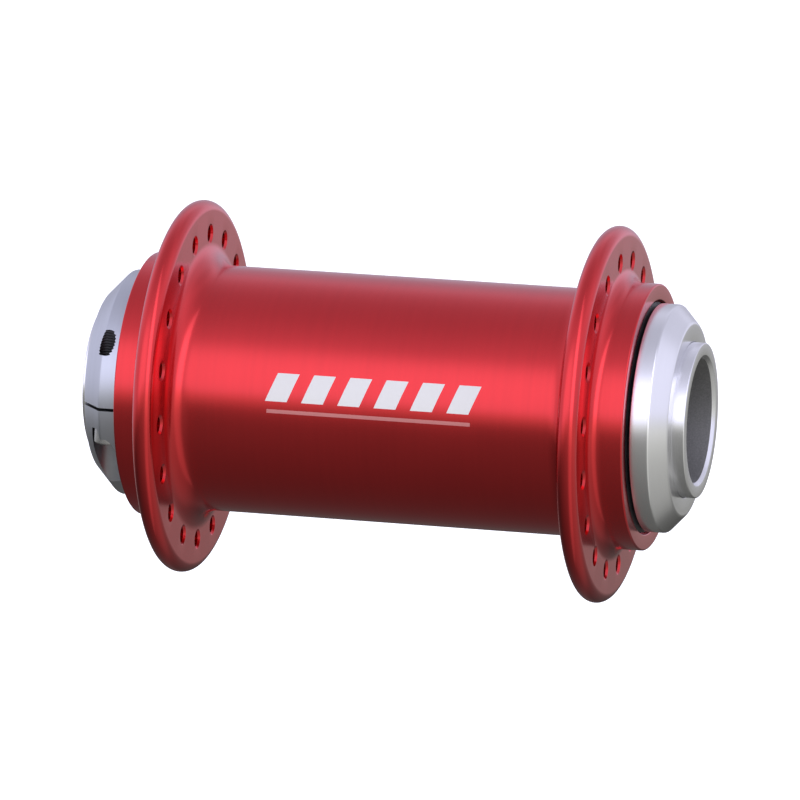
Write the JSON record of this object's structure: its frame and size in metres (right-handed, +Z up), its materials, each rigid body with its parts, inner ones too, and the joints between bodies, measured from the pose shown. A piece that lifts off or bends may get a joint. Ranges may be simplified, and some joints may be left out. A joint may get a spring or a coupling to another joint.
{
  "type": "bicycle front hub",
  "caption": "Front bicycle hub: anodised shell with drilled spoke flanges on cartridge bearings, through-bored axle tube, end cap and split clamp collar.",
  "frame": {"origin": "middle of the hub, on its axis and half way between the two ends of the axle tube", "axes": "+Y along the hub's axis towards the plain end cap, -Y towards the split clamp collar, +X through the collar's slot, +Z up"},
  "size_m": [0.0608, 0.1, 0.0606],
  "materials": {
    "red_anodised_aluminium": "satin red anodised, turned",
    "satin_aluminium": "satin clear anodised, turned",
    "stainless_steel": "plain stainless",
    "bearing_steel": "ground and polished",
    "cage_steel": "pressed, dull",
    "black_rubber": "moulded, matt"
  },
  "bodies": {
    "axle_group": {"axle_tube": "satin_aluminium", "right_end_cap": "satin_aluminium", "left_clamp_collar": "satin_aluminium", "collar_pinch_screw": "stainless_steel", "left_dust_seal": "black_rubber", "right_dust_seal": "black_rubber", "left_bearing_inner_race": "bearing_steel", "right_bearing_inner_race": "bearing_steel"},
    "turning_shell": {"hub_shell": "red_anodised_aluminium", "left_bearing_outer_race": "bearing_steel", "left_bearing_outboard_shield": "black_rubber", "left_bearing_inboard_shield": "black_rubber", "right_bearing_outer_race": "bearing_steel", "right_bearing_outboard_shield": "black_rubber", "right_bearing_inboard_shield": "black_rubber"},
    "left_ball_set": {"left_bearing_cage": "cage_steel", "left_ball_01": "bearing_steel", "left_ball_02": "bearing_steel", "left_ball_03": "bearing_steel", "left_ball_04": "bearing_steel", "left_ball_05": "bearing_steel", "left_ball_06": "bearing_steel", "left_ball_07": "bearing_steel", "left_ball_08": "bearing_steel", "left_ball_09": "bearing_steel", "left_ball_10": "bearing_steel", "left_ball_11": "bearing_steel", "left_ball_12": "bearing_steel", "left_ball_13": "bearing_steel", "left_ball_14": "bearing_steel", "left_ball_15": "bearing_steel", "left_ball_16": "bearing_steel"},
    "right_ball_set": {"right_bearing_cage": "cage_steel", "right_ball_01": "bearing_steel", "right_ball_02": "bearing_steel", "right_ball_03": "bearing_steel", "right_ball_04": "bearing_steel", "right_ball_05": "bearing_steel", "right_ball_06": "bearing_steel", "right_ball_07": "bearing_steel", "right_ball_08": "bearing_steel", "right_ball_09": "bearing_steel", "right_ball_10": "bearing_steel", "right_ball_11": "bearing_steel", "right_ball_12": "bearing_steel", "right_ball_13": "bearing_steel", "right_ball_14": "bearing_steel", "right_ball_15": "bearing_steel", "right_ball_16": "bearing_steel"}
  },
  "joints": [
    {"name": "hub_spin", "type": "hinge", "parent": "axle_group", "child": "turning_shell", "pos_m": [0, 0, 0], "axis": [0, 1, 0], "continuous": true},
    {"name": "left_ball_set_spin", "type": "hinge", "parent": "axle_group", "child": "left_ball_set", "pos_m": [0, -0.0367, 0], "axis": [0, 1, 0], "continuous": true},
    {"name": "right_ball_set_spin", "type": "hinge", "parent": "axle_group", "child": "right_ball_set", "pos_m": [0, 0.0367, 0], "axis": [0, 1, 0], "continuous": true}
  ],
  "couplings": [
    {"joint": "left_ball_set_spin", "follows": "hub_spin", "ratio": 0.5565},
    {"joint": "right_ball_set_spin", "follows": "hub_spin", "ratio": 0.5565}
  ]
}
